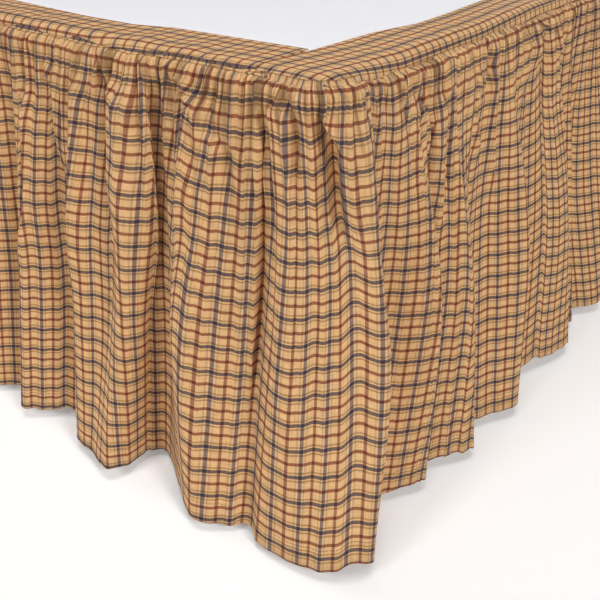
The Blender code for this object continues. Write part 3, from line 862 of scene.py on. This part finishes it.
def make_deck(material):
    """White deck, its edges under the bands."""
    across = np.linspace(-1.0, 1.0, DECK_COLUMNS)[None, :]
    back = np.linspace(1.0, 0.0, DECK_ROWS)[:, None]
    y = 0.5 * BED_LENGTH - HEAD_HEM - back * (BED_LENGTH - HEAD_HEM - DECK_FOOT)
    side_inset = from_table(SIDE_INNER, y + 0.5 * BED_LENGTH) - DECK_UNDER
    x = across * (0.5 * BED_WIDTH - side_inset)
    foot_inset = from_table(FOOT_INNER, 0.5 * BED_WIDTH - x) - DECK_UNDER
    low = -0.5 * BED_LENGTH + foot_inset
    y = 0.5 * BED_LENGTH - HEAD_HEM - back * (0.5 * BED_LENGTH - HEAD_HEM - low)
    points = np.stack((x, y, np.full(x.shape, BOX_TOP + DECK_LIFT)), axis=-1)[::-1]
    across, along = points[:, :, 0], points[:, :, 1]
    maps = {"cloth": (across, along), "hem": (across, np.full(x.shape, 1.0))}
    piece = woven_sheet("deck_cloth", points, DECK_CLOTH, material, maps)
    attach(piece, "root")
    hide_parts("deck")


# ---------------------------------------------------------------- materials
# What each yarn makes of the ground's colour. Down: lengthwise yarns, across:
# crosswise ones.
YARN_TINTS = {
    "Blue down": (0.24, 0.28, 0.57),
    "Red down": (0.43, 0.27, 0.34),
    "Fine down": (0.72, 0.74, 0.84),
    "Blue across": (0.125, 0.145, 0.34),
    "Red across": (0.37, 0.165, 0.18),
    "Fine across": (0.57, 0.50, 0.42),
}
TAN_YARN = (0.775, 0.474, 0.222)
THREAD = (0.120, 0.030, 0.020)
# Painted shade: the dark brown laid into the slits between the seam's puckers.
PAINTED_SLIT_SHADE = (0.100, 0.050, 0.024)
DECK_WHITE = (0.93, 0.925, 0.955)
COVER_WHITE = (0.76, 0.75, 0.72)
# Half widths of the blue and the red stripe, then a fine line's distance from
# the blue one's middle and its half width, as shares of the repeat.
DOWN_STRIPES = ((0.068, 0.059), (0.165, 0.028))
ACROSS_STRIPES = ((0.069, 0.061), (0.157, 0.034))
# How much a yarn's colour changes as it goes over and under.
YARN_OVER = 0.12
# Heights above the hem of its stitching and of the puckers' middle.
HEM_STITCH = 0.0195
STITCH = 0.003
SEAM_HEIGHT = 0.400


def put(tree, socket, value):
    """Joins a socket to another, or gives it a plain value."""
    if isinstance(value, bpy.types.NodeSocket):
        tree.links.new(value, socket)
    elif value is not None:
        socket.default_value = value


def maths(tree, operation, first, second=None, third=None):
    """Output of a Math node."""
    node = tree.nodes.new("ShaderNodeMath")
    node.operation = operation
    for socket, value in zip(node.inputs, (first, second, third)):
        put(tree, socket, value)
    return node.outputs[0]


def blend_colour(tree, share, first, second):
    """Output of a Mix node for colours."""
    node = tree.nodes.new("ShaderNodeMix")
    node.data_type = "RGBA"
    put(tree, node.inputs[0], share)
    put(tree, node.inputs[6], first)
    put(tree, node.inputs[7], second)
    return node.outputs[2]


def product(tree, first, second):
    """Two colours multiplied."""
    node = tree.nodes.new("ShaderNodeVectorMath")
    node.operation = "MULTIPLY"
    put(tree, node.inputs[0], first)
    put(tree, node.inputs[1], second)
    return node.outputs[0]


def soft_line(tree, distance, half_width, edge):
    """1 where a distance is within half_width, falling softly to 0 past it."""
    node = tree.nodes.new("ShaderNodeMapRange")
    node.interpolation_type = "SMOOTHSTEP"
    put(tree, node.inputs["Value"], distance)
    node.inputs["From Min"].default_value = half_width - edge
    node.inputs["From Max"].default_value = half_width + edge
    node.inputs["To Min"].default_value = 1.0
    node.inputs["To Max"].default_value = 0.0
    return node.outputs["Result"]


def fractal(tree, vector, scale, detail=2.0, roughness=0.5):
    """Output of a Noise node."""
    node = tree.nodes.new("ShaderNodeTexNoise")
    put(tree, node.inputs["Vector"], vector)
    node.inputs["Scale"].default_value = scale
    node.inputs["Detail"].default_value = detail
    node.inputs["Roughness"].default_value = roughness
    return node.outputs["Fac"]


def stretched(tree, vector, scale):
    """Vector scaled by three numbers."""
    node = tree.nodes.new("ShaderNodeVectorMath")
    node.operation = "MULTIPLY"
    put(tree, node.inputs[0], vector)
    node.inputs[1].default_value = scale
    return node.outputs[0]


def new_group(name, inputs, outputs):
    """Empty node group with its sockets, and its input and output nodes."""
    group = bpy.data.node_groups.new(name, "ShaderNodeTree")
    for label, kind, value in inputs:
        socket = group.interface.new_socket(label, in_out="INPUT", socket_type=kind)
        if value is not None:
            socket.default_value = value
    for label, kind in outputs:
        group.interface.new_socket(label, in_out="OUTPUT", socket_type=kind)
    given = group.nodes.new("NodeGroupInput").outputs
    return group, given, group.nodes.new("NodeGroupOutput").inputs


def plain_weave_group():
    """Over-and-under of a plain weave, with its slubs, from cloth coordinates in metres."""
    group, given, made = new_group(
        "plain weave",
        (("Vector", "NodeSocketVector", None), ("Yarn", "NodeSocketFloat", 0.0006)),
        (("Over", "NodeSocketFloat"), ("Tone", "NodeSocketFloat"), ("Height", "NodeSocketFloat")),
    )
    parts = group.nodes.new("ShaderNodeSeparateXYZ")
    put(group, parts.inputs[0], given["Vector"])
    turn = maths(group, "DIVIDE", math.pi, given["Yarn"])
    angles = [maths(group, "MULTIPLY", parts.outputs[axis], turn) for axis in (0, 1)]
    over = maths(group, "MULTIPLY", *[maths(group, "SINE", angle) for angle in angles])
    lengthwise = fractal(group, stretched(group, given["Vector"], (1100.0, 55.0, 1.0)), 1.0)
    crosswise = fractal(group, stretched(group, given["Vector"], (55.0, 1100.0, 1.0)), 1.0)
    slubs = maths(group, "ADD", lengthwise, crosswise)
    put(group, made["Over"], over)
    put(group, made["Tone"], slubs)
    put(group, made["Height"], maths(group, "MULTIPLY_ADD", over, 0.5, slubs))
    return group


def stripe_tint(tree, place, stripe, fine_line, colours, share):
    """Tint of one set of yarns: blue and red stripes in turn, fine lines beside the blue."""
    blue, red, fine = colours
    near_blue = maths(tree, "PINGPONG", place, 0.5)
    near_red = maths(tree, "SUBTRACT", 0.5, near_blue)
    beside = maths(tree, "ABSOLUTE", maths(tree, "SUBTRACT", near_blue, fine_line[0]))
    bare = (1.0, 1.0, 1.0, 1.0)
    tint = blend_colour(tree, soft_line(tree, beside, fine_line[1], 0.016), bare, fine)
    tint = blend_colour(tree, soft_line(tree, near_red, stripe[1], 0.012), tint, red)
    tint = blend_colour(tree, soft_line(tree, near_blue, stripe[0], 0.012), tint, blue)
    return blend_colour(tree, share, bare, tint)


def check_group(weave):
    """Tan cotton check with blue and red lines, from cloth coordinates in metres."""
    colours = ("Ground", *YARN_TINTS)
    inputs = [("Vector", "NodeSocketVector", None), ("Repeat", "NodeSocketFloat", CHECK)]
    inputs += [(label, "NodeSocketColor", None) for label in colours]
    group, given, made = new_group(
        "woven check", inputs, (("Colour", "NodeSocketColor"), ("Height", "NodeSocketFloat"))
    )
    yarns = group.nodes.new("ShaderNodeGroup")
    yarns.node_tree = weave
    put(group, yarns.inputs["Vector"], given["Vector"])
    parts = group.nodes.new("ShaderNodeSeparateXYZ")
    put(group, parts.inputs[0], given["Vector"])
    places = [maths(group, "DIVIDE", parts.outputs[axis], given["Repeat"]) for axis in (0, 1)]
    over = yarns.outputs["Over"]
    crosswise_share = maths(group, "MULTIPLY_ADD", over, YARN_OVER, 1.0 - YARN_OVER)
    lengthwise_share = maths(group, "MULTIPLY_ADD", over, -YARN_OVER, 1.0 - YARN_OVER)
    tints = [given[label] for label in colours]
    lengthwise = stripe_tint(group, places[0], *DOWN_STRIPES, tints[1:4], lengthwise_share)
    crosswise = stripe_tint(group, places[1], *ACROSS_STRIPES, tints[4:7], crosswise_share)
    colour = product(group, given["Ground"], product(group, lengthwise, crosswise))
    tone = maths(group, "MULTIPLY_ADD", yarns.outputs["Tone"], 0.60, 0.40)
    shade = group.nodes.new("ShaderNodeVectorMath")
    shade.operation = "SCALE"
    put(group, shade.inputs[0], colour)
    put(group, shade.inputs["Scale"], tone)
    put(group, made["Colour"], shade.outputs[0])
    put(group, made["Height"], yarns.outputs["Height"])
    return group


def bare_material(name, rough):
    """New material with its shader and node tree."""
    material = bpy.data.materials.new(name)
    material.use_nodes = True
    tree = material.node_tree
    shader = tree.nodes["Principled BSDF"]
    shader.inputs["Roughness"].default_value = rough
    shader.inputs["Specular IOR Level"].default_value = 0.25
    return material, tree, shader


def cloth_place(tree, label):
    """Cloth coordinates from a piece's own map."""
    node = tree.nodes.new("ShaderNodeUVMap")
    node.uv_map = label
    return node.outputs[0]


def raised(tree, height, distance, normal=None):
    """Normal from a Bump node."""
    node = tree.nodes.new("ShaderNodeBump")
    node.inputs["Distance"].default_value = distance
    put(tree, node.inputs["Height"], height)
    if normal is not None:
        put(tree, node.inputs["Normal"], normal)
    return node.outputs[0]


def above_hem(tree):
    """Places along the cloth and above its hem, from a piece's own map."""
    node = tree.nodes.new("ShaderNodeSeparateXYZ")
    put(tree, node.inputs[0], cloth_place(tree, "hem"))
    return node.outputs[0], node.outputs[1]


def distance_from(tree, value, level):
    """How far a value is from a level, either way."""
    return maths(tree, "ABSOLUTE", maths(tree, "SUBTRACT", value, level))


def checked_cotton(name, check, ground):
    """Woven cotton check with puckers at the seam, painted shade in the slits between them, creases
    and a stitched hem.
    """
    material, tree, shader = bare_material(name, 0.92)
    shader.inputs["Specular IOR Level"].default_value = 0.08
    shader.inputs["Sheen Weight"].default_value = 0.03
    shader.inputs["Sheen Roughness"].default_value = 0.6
    place = cloth_place(tree, "cloth")
    cloth = tree.nodes.new("ShaderNodeGroup")
    cloth.node_tree = check
    put(tree, cloth.inputs["Vector"], place)
    put(tree, cloth.inputs["Ground"], (*ground, 1.0))
    for label, tint in YARN_TINTS.items():
        put(tree, cloth.inputs[label], (*tint, 1.0))
    along, above = above_hem(tree)
    from_stitch = distance_from(tree, above, HEM_STITCH)
    row = soft_line(tree, from_stitch, 0.0004, 0.0002)
    dash = maths(tree, "PINGPONG", maths(tree, "DIVIDE", along, STITCH), 0.5)
    thread = maths(tree, "MULTIPLY", row, soft_line(tree, dash, 0.36, 0.06))
    thread = maths(tree, "MULTIPLY", thread, 0.7)
    colour = blend_colour(tree, thread, cloth.outputs["Colour"], (*THREAD, 1.0))
    near_seam = soft_line(tree, distance_from(tree, above, SEAM_HEIGHT), 0.036, 0.032)
    pucker = fractal(tree, stretched(tree, cloth_place(tree, "hem"), (100.0, 6.0, 1.0)), 1.0)
    # Painted shade: near the seam, where the pucker noise is low, the colour is drawn towards a dark
    # brown to stand in for shade in the slits between gathers.
    painted_slit_shade = maths(tree, "MULTIPLY", near_seam, soft_line(tree, pucker, 0.40, 0.05))
    painted_slit_shade = maths(tree, "MULTIPLY", painted_slit_shade, 0.55)
    colour = blend_colour(tree, painted_slit_shade, colour, (*PAINTED_SLIT_SHADE, 1.0))
    put(tree, shader.inputs["Base Color"], colour)
    groove = soft_line(tree, from_stitch, 0.0012, 0.0010)
    doubled = soft_line(tree, above, HEM_STITCH + 0.0008, 0.0012)
    wide = fractal(tree, stretched(tree, place, (38.0, 14.0, 1.0)), 1.0, 3.0, 0.55)
    small = fractal(tree, stretched(tree, place, (210.0, 120.0, 1.0)), 1.0)
    normal = raised(tree, maths(tree, "SUBTRACT", doubled, groove), 0.0004)
    normal = raised(tree, maths(tree, "MULTIPLY", near_seam, pucker), 0.006, normal)
    normal = raised(tree, wide, 0.0017, normal)
    normal = raised(tree, small, 0.0005, normal)
    normal = raised(tree, cloth.outputs["Height"], 0.00010, normal)
    put(tree, shader.inputs["Normal"], normal)
    return material


def white_cotton(name, weave, colour, yarn, crease):
    """Plain white cloth with a faint weave and soft creases."""
    material, tree, shader = bare_material(name, 0.9)
    place = tree.nodes.new("ShaderNodeTexCoord").outputs["Object"]
    cloth = tree.nodes.new("ShaderNodeGroup")
    cloth.node_tree = weave
    put(tree, cloth.inputs["Vector"], place)
    put(tree, cloth.inputs["Yarn"], yarn)
    wide = fractal(tree, place, 9.0, 3.0, 0.5)
    patchy = fractal(tree, place, 40.0, 3.0, 0.6)
    tone = maths(tree, "MULTIPLY_ADD", patchy, 0.10, 0.0)
    darker = tuple(0.86 * channel for channel in colour)
    shade = blend_colour(tree, tone, (*colour, 1.0), (*darker, 1.0))
    put(tree, shader.inputs["Base Color"], shade)
    creased = raised(tree, wide, crease)
    put(tree, shader.inputs["Normal"], raised(tree, cloth.outputs["Height"], 0.00008, creased))
    return material


def black_plastic(name):
    """Moulded black plastic with a fine grain."""
    material, tree, shader = bare_material(name, 0.5)
    place = tree.nodes.new("ShaderNodeTexCoord").outputs["Object"]
    grain = fractal(tree, place, 1600.0, 2.0, 0.6)
    worn = fractal(tree, place, 22.0, 3.0, 0.6)
    colour = blend_colour(tree, worn, (0.022, 0.022, 0.023, 1.0), (0.040, 0.039, 0.038, 1.0))
    put(tree, shader.inputs["Base Color"], colour)
    put(tree, shader.inputs["Roughness"], maths(tree, "MULTIPLY_ADD", worn, 0.2, 0.38))
    put(tree, shader.inputs["Normal"], raised(tree, grain, 0.00010))
    return material


# ------------------------------------------------------- floor and lighting
FLOOR_REACH = 6.0
FLOOR_GLOW = 0.20


def make_floor():
    """Plain pale floor."""
    floor = bmesh.new()
    bmesh.ops.create_grid(floor, x_segments=1, y_segments=1, size=FLOOR_REACH)
    mesh = bpy.data.meshes.new("floor")
    floor.to_mesh(mesh)
    floor.free()
    piece = bpy.data.objects.new("floor", mesh)
    bpy.context.scene.collection.objects.link(piece)
    material, _, shader = bare_material("pale_floor", 0.95)
    shader.inputs["Base Color"].default_value = (0.92, 0.92, 0.92, 1.0)
    shader.inputs["Emission Color"].default_value = (1.0, 1.0, 1.0, 1.0)
    shader.inputs["Emission Strength"].default_value = FLOOR_GLOW
    mesh.materials.append(material)


# Soft lights: name, direction from the bed's corner in degrees (turned from +X
# towards +Y, and up), distance, size and the light's strength at the corner.
SOFT_LIGHTS = (
    ("foot side", -107.0, 40.0, 4.0, 1.0, 2.5),
    ("right side", -18.0, 35.0, 3.6, 0.8, 4.1),
    ("overhead", -60.0, 84.0, 3.0, 1.2, 3.5),
    ("left side", 192.0, 16.0, 4.5, 1.4, 2.6),
    ("head side", 98.0, 16.0, 4.5, 1.4, 2.6),
)
# How far below the bed's top the lights aim, and the surround's colour and strength.
LIGHTS_BELOW = 0.15
SURROUND = (0.97, 0.98, 1.0, 1.0)
SURROUND_STRENGTH = 0.08


def soft_light(name, target, turned, raised_by, distance, size, strength):
    """Square studio light that faces a point."""
    lamp = bpy.data.lights.new(name, "AREA")
    lamp.size = size
    lamp.energy = strength * distance**2
    holder = bpy.data.objects.new(name, lamp)
    bpy.context.scene.collection.objects.link(holder)
    turned, raised_by = math.radians(turned), math.radians(raised_by)
    level = math.cos(raised_by)
    away = Vector((level * math.cos(turned), level * math.sin(turned), math.sin(raised_by)))
    holder.location = target + distance * away
    holder.rotation_euler = (-away).to_track_quat("-Z", "Y").to_euler()


# Camera: place from the bed's foot corner at the height of its top, heading
# left of +Y, angle down and roll in degrees, and the view's width.
CAMERA_FROM_CORNER = (0.2806, -0.4155, 0.1337)
CAMERA_HEADING = 35.60
CAMERA_DOWN = 31.17
CAMERA_ROLL = 1.13
CAMERA_VIEW = 43.60


def make_camera(corner):
    """Camera at the photograph's angle."""
    lens = bpy.data.cameras.new("camera")
    lens.angle = math.radians(CAMERA_VIEW)
    lens.clip_start = 0.01
    camera = bpy.data.objects.new("camera", lens)
    bpy.context.scene.collection.objects.link(camera)
    heading = Matrix.Rotation(math.radians(CAMERA_HEADING), 4, "Z")
    tilt = Matrix.Rotation(math.radians(90.0 - CAMERA_DOWN), 4, "X")
    roll = Matrix.Rotation(math.radians(CAMERA_ROLL), 4, "Z")
    place = Matrix.Translation(corner + Vector(CAMERA_FROM_CORNER))
    camera.matrix_world = place @ heading @ tilt @ roll
    bpy.context.scene.camera = camera


def light_scene(corner):
    """Soft lights from both sides of the corner and above, with a pale surround."""
    scene = bpy.context.scene
    scene.view_settings.view_transform = "Standard"
    world = bpy.data.worlds.new("surround")
    world.use_nodes = True
    background = world.node_tree.nodes["Background"]
    background.inputs[0].default_value = SURROUND
    background.inputs[1].default_value = SURROUND_STRENGTH
    scene.world = world
    for name, *values in SOFT_LIGHTS:
        soft_light(name, corner - Vector((0.0, 0.0, LIGHTS_BELOW)), *values)


def main():
    """Loads the solids, dresses them and sets the camera."""
    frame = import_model()
    low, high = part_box("box_spring")
    corner = Vector((high[0], low[1], BOX_TOP))
    make_camera(corner)
    weave = plain_weave_group()
    check = check_group(weave)
    cotton = checked_cotton("checked_cotton", check, TAN_YARN)
    rows, joints = skirt_rows()
    across = 0.0
    for number, side in enumerate(("left", "foot", "right")):
        name = f"skirt_{side}_cloth"
        start, end = joints[number : number + 2]
        across += make_skirt(name, rows, start, end, GATHER_SEED + number, across, cotton)
    points, places = side_band()
    make_band("band_right_cloth", points, places, 1, cotton)
    make_band("band_left_cloth", points, places, -1, cotton)
    points, places = foot_band()
    make_band("band_foot_cloth", points, places, 0, cotton)
    make_deck(white_cotton("white_cotton", weave, DECK_WHITE, 0.0005, 0.004))
    cover = white_cotton("box_cover", weave, COVER_WHITE, 0.0012, 0.006)
    plastic = black_plastic("black_plastic")
    for name, node in frame["nodes"].items():
        if name == "box_spring":
            node.material_slots[0].material = cover
        if name.startswith("leg"):
            node.material_slots[0].material = plastic
    make_floor()
    light_scene(corner)


main()
